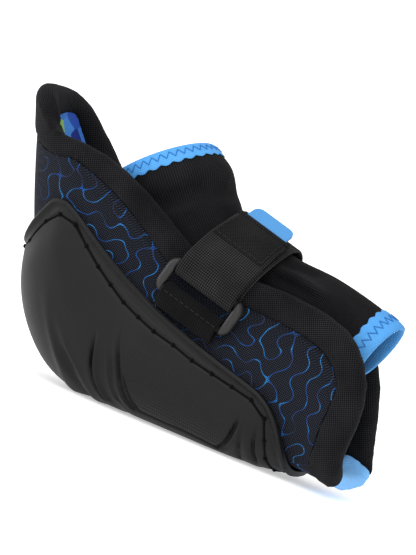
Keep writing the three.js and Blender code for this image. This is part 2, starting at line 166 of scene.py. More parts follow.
# Lining: brushed polyester knit printed in blues and green, glued to the foam's inner face. It shows in the
# pocket of the upper guard and between the two wings at the forearm end.
MERGE = 1e-6  # corners closer than this, in metres, are one
FOLD_ANGLE = math.radians(50)  # edges sharper than this keep their place when a piece is rounded
WALL_ROUNDING = 2
EDGE_COVERS = ("shell_binding", "end_gusset")  # what hides the cut edges of lining and panel
EDGE_TUCK = 1.0 * MM  # left between a cut edge and what hides it
TUCK_REACH = 6 * MM  # edges farther off than this stay where they are
PRINT_BLOT = 9 * MM
KNIT_PITCH = 2.0 * MM  # real loops are half as wide, too fine to show
KNIT_DEPTH = 0.25 * MM
KNIT_WAY = (0.3, 0.2, 1)
KNIT_SHADE = 0.6  # how dark the painted shade makes the print between two rows of loops


def creased(bm):
    """Marks the sharp edges so that rounding leaves them where they are."""
    crease = bm.edges.layers.float.get("crease_edge") or bm.edges.layers.float.new("crease_edge")
    for edge in bm.edges:
        edge[crease] = 1.0 if edge.calc_face_angle(0) > FOLD_ANGLE else 0.0


def cad_copy(node, name):
    """A piece with a CAD node's shape, its triangles merged and joined to quads, its sharp edges creased."""
    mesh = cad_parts[node].data.copy()
    mesh.materials.clear()
    bm = bmesh.new()
    bm.from_mesh(mesh)
    bmesh.ops.remove_doubles(bm, verts=bm.verts, dist=MERGE)
    bmesh.ops.join_triangles(
        bm, faces=bm.faces, angle_face_threshold=math.pi, angle_shape_threshold=math.pi
    )
    creased(bm)
    bm.to_mesh(mesh)
    bm.free()
    return new_piece(name, mesh)


def tucked(piece):
    """Draws the piece's cut edge up to the CAD nodes that hide it."""
    around = bmesh.new()
    for node in EDGE_COVERS:
        around.from_mesh(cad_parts[node].data)
    tree = BVHTree.FromBMesh(around)
    around.free()
    bm = bmesh.new()
    bm.from_mesh(piece.data)
    crease = bm.edges.layers.float["crease_edge"]
    for vert in bm.verts:
        spot, _, _, gap = tree.find_nearest(vert.co, TUCK_REACH)
        if spot and gap > EDGE_TUCK and any(edge[crease] for edge in vert.link_edges):
            vert.co += (spot - vert.co) * (1 - EDGE_TUCK / gap)
    bm.to_mesh(piece.data)
    bm.free()


def rounded(piece, levels):
    """Smooths the piece by subdivision, which stays live."""
    piece.data.shade_smooth()
    modifier = piece.modifiers.new("rounding", "SUBSURF")
    modifier.levels = modifier.render_levels = levels


def fitted(piece, material, slot, *nodes):
    """Gives the piece its material and its place on the frame, and hides the CAD nodes it stands for."""
    piece.data.materials.append(material)
    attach(piece, "root")
    if nodes:
        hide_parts(*nodes)


def crossed_threads(tree, place, pitch, warp, weft):
    """The relief of a cloth, from 0 to 1: threads of this pitch that run two ways and cross.

    Two like ways give plain ribs, from 0.5 to 1.
    """
    rows = []
    for way in (warp, weft):
        turns = Vector(way).normalized() * (2 * math.pi / pitch)
        along = add_node(tree, "VectorMath", {0: place, 1: turns}, operation="DOT_PRODUCT")
        rows.append(add_node(tree, "Math", {0: along}, operation="SINE"))
    crossing = add_node(tree, "Math", {0: rows[0], 1: rows[1]}, operation="MULTIPLY")
    return add_node(tree, "Math", {0: crossing, 1: 0.5, 2: 0.5}, operation="MULTIPLY_ADD")


lining = cad_copy("shell_lining", "lining_knit")
tucked(lining)
rounded(lining, WALL_ROUNDING)
# Printed polyester knit: flat bright blots of colour with sharp edges, broken by rows of loops with painted
# shade between them.
printed_knit, tree, shader = new_material(
    "printed_polyester_knit", roughness=0.8, **{"Specular IOR Level": 0.2, "Sheen Weight": 0.1}
)
place = add_node(tree, "TexCoord").outputs["Object"]
blots = add_node(tree, "TexVoronoi", {"Vector": place, "Scale": 1 / PRINT_BLOT})
tones = add_node(
    tree, "ValToRGB", {"Fac": blots.outputs["Color"]},
    stops=[(0.0, "#2c55b8"), (0.2, "#4a90e4"), (0.42, "#1f3088"), (0.54, "#8fc766"), (0.64, "#3f7fd8")],
)
tones.color_ramp.interpolation = "CONSTANT"
loops = crossed_threads(tree, place, KNIT_PITCH, KNIT_WAY, KNIT_WAY)
shade = add_node(tree, "MapRange", {"Value": loops, "From Min": 0.5, "To Min": 1.0, "To Max": KNIT_SHADE})
add_node(tree, "VectorMath", {0: tones, "Scale": shade}, operation="SCALE", to=shader.inputs["Base Color"])
add_node(tree, "Bump", {"Height": loops, "Distance": -KNIT_DEPTH}, to=shader.inputs["Normal"])
fitted(lining, printed_knit, "lining_cloth", "shell_lining")

# Arm shell: 6 mm foam faced with a dark navy woven polyester that carries a print of thin wandering lines.
# The panel wraps the back of the arm, and its cut edge is hidden in the binding.
PRINT_PERIOD = 17 * MM  # the lines wander round and past each other within this length
PRINT_NEST = 0.85  # the wandering field folds back at this height, so that lines nest in each other
PRINT_LINE = 0.15  # half width of a line, in the units of the field
LINE_CORE = 0.6  # share of that width which has its full ink
PRINT_SWAY = 9 * MM  # how far the field is pulled out of regular, and over what size
SWAY_SIZE = 30 * MM
FADE_SIZE = 24 * MM  # of the patches of one ink
INK_HOLLOW, INK_CREST = 0.15, 0.8  # ink in the hollows of the weave, and how much more on its crests
PRINT_ENDS = (-122 * MM, -104 * MM)  # towards the guard's back the print runs out
# It leaves a plain dark patch under the strap's ring, painted shade of the strap and ring: the middle, and
# the radii between which it comes back
RING_SHADE_PATCH = ((0, -40 * MM, 76 * MM), 13 * MM, 20 * MM)
WEAVE_PITCH = 1.5 * MM  # the real threads are finer, too fine to show
WEAVE_DEPTH = 0.35 * MM
WEAVE_CRESTS = 2.5  # the higher, the narrower the light crests
WEAVE_LAY = (0, math.radians(37), 0)  # the cloth is cut on the bias
FACING_SHARPNESS = 5  # the higher, the narrower the bands where one pair of threads gives way to the next
THIRD_TURN = math.radians(120)


def facing_marked(piece, lay):
    """Keeps how squarely each spot faces each of the three ways that the threads of a cloth may run."""
    turn = Euler(lay).to_matrix()
    facing = piece.data.attributes.new("facing", "FLOAT_VECTOR", "POINT")
    for vert in piece.data.vertices:
        shares = [abs(share) ** FACING_SHARPNESS for share in turn @ vert.normal]
        facing.data[vert.index].vector = Vector(shares) / sum(shares)


def laid_threads(tree, place, pitch, lay):
    """The relief of a cloth drawn over a round form, from 0 to 1.

    Threads run three ways, square to each other and turned by the lay, and at each spot the two ways that
    lie in the surface show.
    """
    turned = add_node(tree, "VectorRotate", {"Vector": place, "Rotation": lay}, rotation_type="EULER_XYZ")
    turns = add_node(tree, "VectorMath", {0: turned, "Scale": 2 * math.pi / pitch}, operation="SCALE")
    rows = add_node(tree, "VectorMath", {0: turns}, operation="SINE")
    over, under = [
        add_node(tree, "VectorRotate", {"Vector": rows, "Axis": (1, 1, 1), "Angle": turn})
        for turn in (THIRD_TURN, -THIRD_TURN)
    ]
    crossed = add_node(tree, "VectorMath", {0: over, 1: under}, operation="MULTIPLY")
    facing = add_node(tree, "Attribute", attribute_name="facing").outputs["Vector"]
    shown = add_node(tree, "VectorMath", {0: crossed, 1: facing}, operation="DOT_PRODUCT")
    return add_node(tree, "Math", {0: shown, 1: 0.5, 2: 0.5}, operation="MULTIPLY_ADD")


panel = cad_copy("arm_shell", "shell_panel")
tucked(panel)
rounded(panel, WALL_ROUNDING)
facing_marked(panel, WEAVE_LAY)
# Printed woven polyester: matt, with painted light on the crests of thread and painted shade in the hollows,
# which break up the thin lines of ink.
printed_weave, tree, shader = new_material(
    "printed_polyester_weave", roughness=0.85, **{"Specular IOR Level": 0.06, "Sheen Weight": 0.02}
)
place = add_node(tree, "TexCoord").outputs["Object"]
sway = add_node(tree, "TexNoise", {"Vector": place, "Scale": 1 / SWAY_SIZE, "Detail": 0.0})
swayed = add_node(
    tree, "VectorMath", {0: sway.outputs["Color"], 1: [PRINT_SWAY] * 3, 2: place},
    operation="MULTIPLY_ADD",
)
turns = add_node(tree, "VectorMath", {0: swayed, "Scale": 2 * math.pi / PRINT_PERIOD}, operation="SCALE")
swapped = add_node(tree, "VectorRotate", {"Vector": turns, "Axis": (1, 1, 1), "Angle": THIRD_TURN})
rises = add_node(tree, "VectorMath", {0: turns}, operation="SINE")
falls = add_node(tree, "VectorMath", {0: swapped}, operation="COSINE")
field = add_node(tree, "VectorMath", {0: rises, 1: falls}, operation="DOT_PRODUCT")
nested = add_node(tree, "Math", {0: field, 1: PRINT_NEST}, operation="PINGPONG")
line = add_node(
    tree, "MapRange",
    {
        "Value": nested, "From Min": LINE_CORE * PRINT_LINE, "From Max": PRINT_LINE,
        "To Min": 1.0, "To Max": 0.0,
    },
)
fade = add_node(tree, "TexNoise", {"Vector": place, "Scale": 1 / FADE_SIZE, "Detail": 1.0})
ink = add_node(
    tree, "ValToRGB", {"Fac": fade},
    stops=[
        (0.34, "#12141d"), (0.42, "#2f3a58"), (0.48, "#1a4f9a"), (0.54, "#2f86c8"), (0.6, "#1b519c"),
        (0.68, "#2c3550"),
    ],
)
threads = laid_threads(tree, place, WEAVE_PITCH, WEAVE_LAY)
crests = add_node(tree, "Math", {0: threads, 1: WEAVE_CRESTS}, operation="POWER")
# Painted light on the crests of the weave and painted shade in its hollows
ground = add_node(
    tree, "Mix", {"Factor": crests, "A": linear("#040509"), "B": linear("#353844")}, data_type="RGBA"
)
inked = add_node(tree, "Math", {0: threads, 1: INK_CREST, 2: INK_HOLLOW}, operation="MULTIPLY_ADD")
along = add_node(tree, "SeparateXYZ", {"Vector": place})
kept = add_node(tree, "MapRange", {"Value": along, "From Min": PRINT_ENDS[0], "From Max": PRINT_ENDS[1]})
# Painted shade under the ring: the print is left out there, so only the dark ground shows
off_shade_patch = add_node(tree, "VectorMath", {0: place, 1: RING_SHADE_PATCH[0]}, operation="DISTANCE")
clear = add_node(
    tree, "MapRange",
    {"Value": off_shade_patch.outputs["Value"], "From Min": RING_SHADE_PATCH[1], "From Max": RING_SHADE_PATCH[2]},
)
kept_out_of_shade = add_node(tree, "Math", {0: kept, 1: clear}, operation="MULTIPLY")
printed = add_node(tree, "Math", {0: line, 1: kept_out_of_shade}, operation="MULTIPLY")
shown = add_node(tree, "Math", {0: printed, 1: inked}, operation="MULTIPLY")
add_node(
    tree, "Mix", {"Factor": shown, "A": ground, "B": ink}, data_type="RGBA",
    to=shader.inputs["Base Color"],
)
add_node(tree, "Bump", {"Height": threads, "Distance": WEAVE_DEPTH}, to=shader.inputs["Normal"])
fitted(panel, printed_weave, "panel_cloth", "arm_shell")

# Binding: a roll of black stretch knit over soft foam, folded over the shell's edge and sewn down along both
# faces. It swells between its seam and the edge, and is widest at the forearm end.
ROLL_GRAIN = 1.5 * MM
ROLL_SOFTENING = 8  # rounds of smoothing, each taking a little off every edge
SMOOTH_SHARE = 0.5  # of the way to its neighbours' middle that a point goes in a round
ROLL_SWELL = 1.6 * MM
ROLL_PUCKER = 0.35 * MM
ROLL_PUCKER_SIZE = 9 * MM
RIB_PITCH = 1.6 * MM  # real ribs are about 1 mm, too fine to show
RIB_LAY = (0, math.radians(-24), 0)
RIB_DEPTH = 0.3 * MM
CLOTH_ROUGHNESS = 0.9
CLOTH_GLOSS = 0.06
CLOTH_SHEEN = 0.02
WEAR_SIZE = 25 * MM
CREST_SHARPNESS = 1.6  # above 1 the light crests of a cloth are narrower than its hollows


def worked_in(piece):
    """Makes the piece's modifiers part of its mesh."""
    depsgraph = bpy.context.evaluated_depsgraph_get()
    mesh = bpy.data.meshes.new_from_object(piece.evaluated_get(depsgraph))
    piece.modifiers.clear()
    piece.data = mesh


def stuffed(piece, grain, softening, swell, pucker=0.0, pucker_size=1.0):
    """Turns a hard-edged piece into a soft roll: an even mesh, smoothed, swollen and slightly puckered."""
    remesh = piece.modifiers.new("even", "REMESH")
    remesh.mode = "VOXEL"
    remesh.voxel_size = grain
    worked_in(piece)
    bm = bmesh.new()
    bm.from_mesh(piece.data)
    for _ in range(softening):
        bmesh.ops.smooth_vert(
            bm, verts=bm.verts, factor=SMOOTH_SHARE, use_axis_x=True, use_axis_y=True, use_axis_z=True
        )
    bm.normal_update()
    for vert in bm.verts:
        vert.co += vert.normal * (swell + pucker * noise.noise(vert.co / pucker_size))
    bm.to_mesh(piece.data)
    bm.free()
    rounded(piece, 1)


def cloth(name, hollow, crest, pitch, depth, ways=None, follows="Object", sheen=CLOTH_SHEEN, lay=None):
    """Matt cloth of crossed threads, with painted shade in its hollows and painted light on its crests, a
    little faded in patches.

    Its threads run two ways of the piece, or are laid over a round form.
    """
    material, tree, shader = new_material(
        name, CLOTH_ROUGHNESS, **{"Specular IOR Level": CLOTH_GLOSS, "Sheen Weight": sheen}
    )
    places = add_node(tree, "TexCoord")
    if lay:
        threads = laid_threads(tree, places.outputs[follows], pitch, lay)
    else:
        threads = crossed_threads(tree, places.outputs[follows], pitch, *ways)
    wear = add_node(
        tree, "TexNoise", {"Vector": places.outputs["Object"], "Scale": 1 / WEAR_SIZE, "Detail": 3.0}
    )
    crests = add_node(tree, "Math", {0: threads, 1: CREST_SHARPNESS}, operation="POWER")
    # Painted light on the thread crests, dimmed in worn patches; the hollows keep painted shade
    lit = add_node(tree, "Math", {0: crests, 1: wear}, operation="MULTIPLY")
    add_node(
        tree, "Mix", {"Factor": lit, "A": linear(hollow), "B": linear(crest)}, data_type="RGBA",
        to=shader.inputs["Base Color"],
    )
    add_node(tree, "Bump", {"Height": threads, "Distance": depth}, to=shader.inputs["Normal"])
    return material


binding = cad_copy("shell_binding", "binding_roll")
stuffed(binding, ROLL_GRAIN, ROLL_SOFTENING, ROLL_SWELL, ROLL_PUCKER, ROLL_PUCKER_SIZE)
facing_marked(binding, RIB_LAY)
# Stretch knit: deep black with fine rows of loops and hardly any shine.
stretch_knit = cloth("black_stretch_knit", "#010102", "#3a3a3d", RIB_PITCH, RIB_DEPTH, lay=RIB_LAY)
fitted(binding, stretch_knit, "binding_knit", "shell_binding")

# Gusset: light blue stretch knit that joins the two wings at the bottom of the forearm end. It is sewn in
# under tension, so it gathers along its seams.
GUSSET_GRAIN = 1.2 * MM
GUSSET_SOFTENING = 4
GUSSET_SWELL = 1.5 * MM
GUSSET_PUCKER = 0.6 * MM
GUSSET_PUCKER_SIZE = 5 * MM
GATHER_PITCH = 1.4 * MM
GATHER_DEPTH = 0.2 * MM
GATHER_WAYS = ((0.25, 1, 0.1), (1, 0.1, 0.3))
BLUE_SHEEN = 0.1

gusset = cad_copy("end_gusset", "gusset_cloth")
stuffed(gusset, GUSSET_GRAIN, GUSSET_SOFTENING, GUSSET_SWELL, GUSSET_PUCKER, GUSSET_PUCKER_SIZE)
# Blue stretch knit: smooth and matt with a soft bloom.
blue_knit = cloth(
    "blue_stretch_knit", "#66a8e4", "#a4d2f6", GATHER_PITCH, GATHER_DEPTH, GATHER_WAYS, sheen=BLUE_SHEEN
)
fitted(gusset, blue_knit, "blue_stretch", "end_gusset")

# Elbow cap: one moulding of black rubber, sewn on the shell's back through a thin rim. A rounded lip runs
# round the rim, scale-like ridges sweep under the elbow, and each side has a panel of fine woven relief.
CAP_LIP = 1.3 * MM  # rounding of the rim's edge
LIP_ROUNDING = 2
LIP_FACE = 1.2 * MM * MM  # the lip's faces are smaller, and fine enough as they are
CAP_ROUNDING = 2
CAP_CUTS = 3  # cuts in each edge of the outer face, for its relief
ARM_LINE = ((-60, 0, 95), (90, 0, 60))  # the middle of the arm, which the cap's outer face turns away from
FACING_FULL = 0.4  # from this share of facing out on, the relief has its full height
RIM_RELIEF = ((1.5, 1.0, 0.9), (4.4, 1.6, -0.9))  # off the rim, half width and height of lip and hollow
HEEL = ((-114, 0, 42), 26, 2.0)  # middle, half width and height of the swell over the point of the elbow
THREAD_GROOVE = (0.95, -0.9)  # half width and height of the groove that the thread lies in
# Lines in the moulding, in mm from its upper end to its middle underneath. Both sides have them.
CAP_LINES = {
    "swell": (
        (-93, 45, 63), (-86, 46, 51.5), (-78, 46, 37), (-69, 42, 22.5), (-63, 34, 11.5), (-60, 19, 3),
        (-58, 0, 0),
    ),
    "hollow": (
        (-83, 46.5, 48), (-76, 46, 36), (-67, 43, 23), (-58, 39, 14.5), (-52, 30, 7), (-50, 22, 3),
        (-46, 0, 0),
    ),
    "rear_scale": (
        (-47.3, 48.6, 43.5), (-47, 49, 36.4), (-46, 48, 28.7), (-44.8, 45, 20.7), (-42.8, 39.7, 13.8),
        (-39.7, 34.5, 8.3), (-36, 28, 4.5), (-28, 0, 0),
    ),
    "front_scale": (
        (-35, 47, 50), (-34, 48, 44), (-32.2, 48, 36.7), (-29.6, 47.6, 29), (-26.8, 45, 21.4),
        (-24, 40.7, 13.9), (-21, 35, 8.7), (-17.6, 32, 6), (-6, 0, 0),
    ),
    "front_fold": (
        (-34.8, 48, 37), (-34.3, 48, 32.3), (-32.1, 47.2, 26.3), (-29.8, 43.4, 17.7), (-26.9, 37, 10.5),
        (-24, 32, 6),
    ),
    "panel_foot": (
        (-26.7, 47, 25.7), (-22.6, 42.4, 16.6), (-17.7, 35.7, 9.2), (-13, 30, 5), (0, 29, 4.7),
        (15, 28.4, 4.4), (25.5, 27, 3.7), (35, 24.5, 2.7),
    ),
    "panel_end": ((47.3, 41.3, 29), (46.2, 39.6, 21.2), (43.6, 35, 12.2), (39.5, 29, 5.5), (35, 24, 2.3)),
    "flute": (
        (49.5, 41, 30), (48.4, 40, 22.6), (47.7, 35.5, 13.8), (47.3, 28.4, 6.2), (47, 22.5, 2.8), (46, 0, 1),
    ),
    "end_flute": (
        (58, 39.5, 29), (57.8, 38.6, 24.4), (57.2, 35.8, 16), (57.3, 30, 9.5), (57.7, 22, 4.6), (58, 0, 2),
    ),
}
# A line, its shift towards the hand, half width and height, and the share of it over which it rises
CAP_RELIEF = (
    ("swell", 0, 4.0, 1.4, 0.45),
    ("hollow", 0, 3.0, -1.8, 0.4),
    ("hollow", 5.5, 2.6, 0.9, 0.5),
    ("rear_scale", 0, 0.85, -4.0, 0.3),
    ("rear_scale", 2.1, 1.3, 1.3, 0.35),
    ("rear_scale", 7, 4, -0.8, 0.4),
    ("front_scale", 0, 0.6, -1.9, 0.25),
    ("front_scale", -2.0, 1.1, 1.0, 0.3),
    ("front_fold", -1.5, 1.2, -0.8, 0.4),
    ("front_fold", -3.6, 1.4, 0.8, 0.4),
    ("panel_foot", 0, 0.8, -1.6, 0.15),
    ("panel_end", 0, 1.0, -2.8, 0.45),
    ("panel_end", 4.0, 2.4, 1.2, 0.5),
    ("flute", 1.6, 0.9, -1.8, 0.5),
    ("end_flute", 0, 1.0, -2.2, 0.4),
    ("end_flute", -4, 2.2, 0.9, 0.5),
)
SHARP_CUT = 1.0  # cuts up to this half width are darkened to black with painted shade
GRIP_FADES = (6, 1.5, 2, 16)  # mm over which the woven relief comes in at its back, front, foot and top
GRIP_TOP = (46, -0.25)  # height of its upper edge in mm, and how that falls towards the hand
GRIP_PITCH = 1.8 * MM
GRIP_WAYS = ((1, 0.3, 0.9), (-0.9, 0.3, 1))
GRIP_DEPTH = 0.22 * MM
RUBBER_GRAIN = 0.9 * MM
GRAIN_SHARE = 0.12  # height of the grain as a share of the grip's
RUBBER_GLOSS = 0.19
RUBBER_ROUGHNESS = (0.42, 0.6)
# Where the thread goes down through the rim, in mm. Both sides have them.
KNOTS = (
    (-120, 7, 62), (-117, 20, 65), (-110.6, 31, 70), (-102.5, 39.4, 84), (-95, 42, 91), (-84, 43, 89),
    (-72.7, 44, 80.5), (-61.6, 44.5, 72.5), (-50.8, 44.6, 65.8), (-39.8, 44.7, 59.5), (-28.4, 45, 55),
    (-16.8, 45.3, 51), (-3.3, 45, 48), (9.8, 44, 44), (23.3, 42.7, 41.3), (36.6, 42, 38.8), (49.7, 41.2, 36),
    (60.4, 39.4, 28.7), (63.2, 33.7, 17), (64, 23, 7), (65.5, 8, 4),
)


def soft_step(share):
    """Rises smoothly from 0 to 1."""
    share = np.clip(share, 0, 1)
    return share * share * (3 - 2 * share)


def off_line(points, line):
    """How far each point is from a line of straight stretches, and at what share of its length."""
    line = np.array(line, float)
    best = np.full(len(points), np.inf)
    place = np.zeros(len(points))
    run = 0.0
    for start, stop in zip(line[:-1], line[1:]):
        length = np.linalg.norm(stop - start)
        way = (stop - start) / length
        along = np.clip((points - start) @ way, 0, length)
        gap = np.linalg.norm(points - start - along[:, None] * way, axis=1)
        nearer = gap < best
        best[nearer] = gap[nearer]
        place[nearer] = run + along[nearer]
        run += length
    return best, place / run


def hump(gap, half_width):
    """A smooth rise that is 1 on its line."""
    return np.exp(-((gap / half_width) ** 2))


def arrays(bm):
    """The points, in mm, and the normals of a mesh."""
    bm.normal_update()
    return np.array([v.co for v in bm.verts]) / MM, np.array([v.normal for v in bm.verts])


def facing_out(points, normals):
    """How far the normals turn away from the middle of the arm, from -1 to 1."""
    start, stop = np.array(ARM_LINE, float)
    way = stop - start
    along = np.clip((points - start) @ way / (way @ way), 0, 1)
    outward = points - start - along[:, None] * way
    return (outward * normals).sum(1) / np.linalg.norm(outward, axis=1)


def face_out(face):
    """How far one face turns away from the middle of the arm."""
    return facing_out(np.array([face.calc_center_median()]) / MM, np.array([face.normal]))[0]


cap = cad_copy("elbow_cap", "elbow_cap_moulding")
bm = bmesh.new()
bm.from_mesh(cap.data)
crease = bm.edges.layers.float["crease_edge"]
rim_edges = [e for e in bm.edges if e[crease] and max(face_out(f) for f in e.link_faces) > FACING_FULL]
rim = [tuple(np.array(v.co) / MM for v in edge.verts) for edge in rim_edges]
bmesh.ops.bevel(
    bm, geom=rim_edges, offset=CAP_LIP, segments=LIP_ROUNDING, profile=0.5, affect="EDGES", material=-1,
    clamp_overlap=True,
)
creased(bm)
bm.to_mesh(cap.data)
bm.free()
rounded(cap, CAP_ROUNDING)
worked_in(cap)
bm = bmesh.new()
bm.from_mesh(cap.data)
bm.normal_update()
outer = [f for f in bm.faces if f.calc_area() > LIP_FACE and face_out(f) > FACING_FULL / 2]
outer_edges = list(dict.fromkeys(e for f in outer for e in f.edges))
bmesh.ops.subdivide_edges(bm, edges=outer_edges, cuts=CAP_CUTS, use_grid_fill=True)
points, normals = arrays(bm)
outward = soft_step(facing_out(points, normals) / FACING_FULL)
both_sides = np.abs(points) * (0, 1, 0) + points * (1, 0, 1)  # the near side laid over the far one
from_rim = np.min([off_line(points, edge)[0] for edge in rim], axis=0)
height = sum(tall * hump(from_rim - off, half) for off, half, tall in RIM_RELIEF)
height += THREAD_GROOVE[1] * hump(off_line(both_sides, KNOTS)[0], THREAD_GROOVE[0])
height += HEEL[2] * hump(np.linalg.norm(points - HEEL[0], axis=1), HEEL[1])
# How much painted shade darkens each point, in the narrow cuts
crease_shade = np.zeros(len(points))
for name, shift, half, tall, rise in CAP_RELIEF:
    gap, share = off_line(both_sides - (shift, 0, 0), CAP_LINES[name])
    fold = hump(gap, half) * soft_step(share / rise)
    height += tall * fold
    if tall < 0 and half <= SHARP_CUT:
        crease_shade = np.maximum(crease_shade, fold)
points += normals * (height * outward)[:, None]
points[:, 2] = np.maximum(points[:, 2], 0)
for vert, point in zip(bm.verts, points * MM):
    vert.co = point
x, _, z = both_sides.T
scale, foot, end = (np.array(CAP_LINES[name]) for name in ("front_scale", "panel_foot", "panel_end"))
back_fade, front_fade, foot_fade, top_fade = GRIP_FADES
grip = soft_step((x - np.interp(z, scale[::-1, 2], scale[::-1, 0])) / back_fade)
grip *= soft_step((np.interp(z, end[::-1, 2], end[::-1, 0]) - x) / front_fade)
grip *= soft_step((z - np.interp(x, foot[:, 0], foot[:, 2])) / foot_fade)
grip *= soft_step((GRIP_TOP[0] + GRIP_TOP[1] * x - z) / top_fade) * outward
bm.to_mesh(cap.data)
cap_tree = BVHTree.FromBMesh(bm)
bm.free()
cap.data.shade_smooth()
for name, values in (("grip", grip), ("crease_shade", crease_shade)):
    cap.data.attributes.new(name, "FLOAT", "POINT").data.foreach_set("value", values.astype(np.float32))
# Moulded rubber: near black with a satin skin, a very fine grain, painted shade that blackens the narrow
# cuts, and a woven relief for grip.
rubber, tree, shader = new_material("moulded_rubber", roughness=0.5, **{"Specular IOR Level": RUBBER_GLOSS})
place = add_node(tree, "TexCoord").outputs["Object"]
grip_share = add_node(tree, "Attribute", attribute_name="grip").outputs["Fac"]
twill = crossed_threads(tree, place, GRIP_PITCH, *GRIP_WAYS)
grain = add_node(tree, "TexNoise", {"Vector": place, "Scale": 1 / RUBBER_GRAIN, "Detail": 2.0})
wear = add_node(tree, "TexNoise", {"Vector": place, "Scale": 1 / WEAR_SIZE, "Detail": 4.0})
worn = add_node(
    tree, "Mix", {"Factor": wear, "A": linear("#0a0a0b"), "B": linear("#111112")}, data_type="RGBA"
)
# Painted shade: the narrow cuts go black
crease_shade_share = add_node(tree, "Attribute", attribute_name="crease_shade").outputs["Fac"]
add_node(
    tree, "Mix", {"Factor": crease_shade_share, "A": worn, "B": linear("#010101")}, data_type="RGBA",
    to=shader.inputs["Base Color"],
)
add_node(
    tree, "MapRange", {"Value": wear, "To Min": RUBBER_ROUGHNESS[0], "To Max": RUBBER_ROUGHNESS[1]},
    to=shader.inputs["Roughness"],
)
gripped = add_node(tree, "Math", {0: twill, 1: grip_share}, operation="MULTIPLY")
skin = add_node(tree, "Math", {0: grain, 1: GRAIN_SHARE, 2: gripped}, operation="MULTIPLY_ADD")
add_node(tree, "Bump", {"Height": skin, "Distance": GRIP_DEPTH}, to=shader.inputs["Normal"])
fitted(cap, rubber, "cap_rubber", "elbow_cap")

# Cap stitching: one heavy waxed thread in the groove along the rim, knotted where it goes down through the
# rubber into the shell, about every 12 mm.
KNOT = 1.4 * MM
KNOT_ROUNDING = 2
THREAD = 0.6 * MM
THREAD_STEPS = 5  # points from one knot to the next
THREAD_LIFT = 0.15 * MM
THREAD_DROP = 10 * MM  # how far over the cap the thread starts when it is laid down
THREAD_TWIST = 1.2 * MM
TWIST_DEPTH = 0.2 * MM
TWIST_WAYS = ((1, 0.5, 1), (1, 0.5, 1))


def thread_piece(name, paths, thickness, closed=False):
    """A piece of round thread along each path of points, in metres."""
    curve = bpy.data.curves.new(name, "CURVE")
    curve.dimensions = "3D"
    curve.bevel_depth = thickness
    curve.bevel_resolution = 1
    curve.use_fill_caps = True
    for path in paths:
        spline = curve.splines.new("POLY")
        spline.points.add(len(path) - 1)
        for spot, point in zip(path, spline.points):
            point.co = (*spot, 1)
        spline.use_cyclic_u = closed
    laid = new_piece(name + "_path", curve)
    mesh = bpy.data.meshes.new_from_object(laid.evaluated_get(bpy.context.evaluated_depsgraph_get()))
    bpy.data.objects.remove(laid)
    mesh.shade_smooth()
    return new_piece(name, mesh)


near_knots = [Vector((x, -y, z)) * MM for x, y, z in KNOTS]
far_knots = [Vector((x, y, z)) * MM for x, y, z in reversed(KNOTS)]
knots = near_knots + far_knots
path = []
for start, stop in zip(knots, knots[1:] + knots[:1]):
    over = cap_tree.find_nearest(start)[1] + cap_tree.find_nearest(stop)[1]
    over.normalize()
    for k in range(THREAD_STEPS):
        above = start.lerp(stop, k / THREAD_STEPS) + over * THREAD_DROP
        spot, normal, *_ = cap_tree.ray_cast(above, -over)
        path.append(spot + normal * THREAD_LIFT)
stitching = thread_piece("cap_stitching", [path], THREAD, closed=True)
bm = bmesh.new()
bm.from_mesh(stitching.data)
for knot in path[::THREAD_STEPS]:
    bmesh.ops.create_icosphere(
        bm, subdivisions=KNOT_ROUNDING, radius=KNOT, matrix=Matrix.Translation(knot)
    )
bm.to_mesh(stitching.data)
bm.free()
stitching.data.shade_smooth()
# Waxed polyester thread: black and twisted.
waxed_thread = cloth(
    "waxed_polyester_thread", "#020202", "#0d0d0e", THREAD_TWIST, TWIST_DEPTH, TWIST_WAYS
)
fitted(stitching, waxed_thread, "webbing")

# Sleeve: a tube of black stretch mesh that the arm goes through, cut in one piece with a seam under the arm.
# It is sewn into the shell under the strap and falls in soft folds at the crook and along the forearm.
# Its middle's x and z, the way to the crook in degrees from +X, and half its depth and width, in mm:
SLEEVE_ROWS = (
    (-65, 136, 40, 32, 20), (-54, 124, 42, 38, 21.5), (-40, 110, 46, 36, 22.5), (-23, 99, 54, 30.4, 22.5),
    (-1, 91.5, 68, 31, 22.4), (27, 86.5, 82, 29.5, 21.2), (54, 85.5, 84, 28.5, 19), (79, 84.5, 78, 24.5, 17),
    (97, 85, 68, 18.6, 14.5),
)
# Place along and round, spread along and round, and height of its big folds:
SLEEVE_FOLDS = (
    (1.5, 75, 0.3, 45, -3.5), (1.1, 35, 0.5, 14, 2), (1.9, 20, 0.35, 30, -3), (5.6, 50, 1.1, 12, 2),
    (5.5, 75, 1.0, 14, -2), (3.4, 10, 0.3, 60, -2.5),
)
# Finer creases: points along each in mm, half width and height
SLEEVE_CREASES = (
    (((-52, -20, 110), (-44, -20, 118), (-35, -19, 125.5), (-27, -14, 136)), 5, -2.0),
    (((-28, -2, 151), (-23, -7, 142), (-20, -11, 131), (-18, -16, 123)), 4, 1.6),
    (((23, -18, 106), (32, -16, 106.4), (43, -15.6, 106), (56, -15.7, 104), (65, -15, 103)), 2.4, 2.6),
    (((24, -19, 102), (34, -18, 102.5), (46, -17.5, 101.5), (58, -17, 100)), 2.6, -2.4),
    (((26, -13, 111), (38, -9, 112), (54, -8, 111)), 3.5, -1.8),
)
CREASE_ENDS = 0.25  # share of a crease over which each of its ends runs out
SLEEVE_LEAN = 0.2  # how far the upper end leans to the far side, and over how many rows
LEAN_ROWS = 3
SLEEVE_THICK = 1.8 * MM
SLEEVE_SPAN = (0.52, 7.3)  # the rows that the mesh runs between, from cuff to cuff
SLEEVE_COUNTS = (110, 96)
SLEEVE_FLAT = (165 * MM, 190 * MM)
MESH_PITCH = 1.5 * MM  # real mesh holes are about 1 mm, too fine to show
MESH_DEPTH = 0.25 * MM
DIAGONAL = ((1, 1, 0), (1, -1, 0))  # threads that cross a cloth on the slant


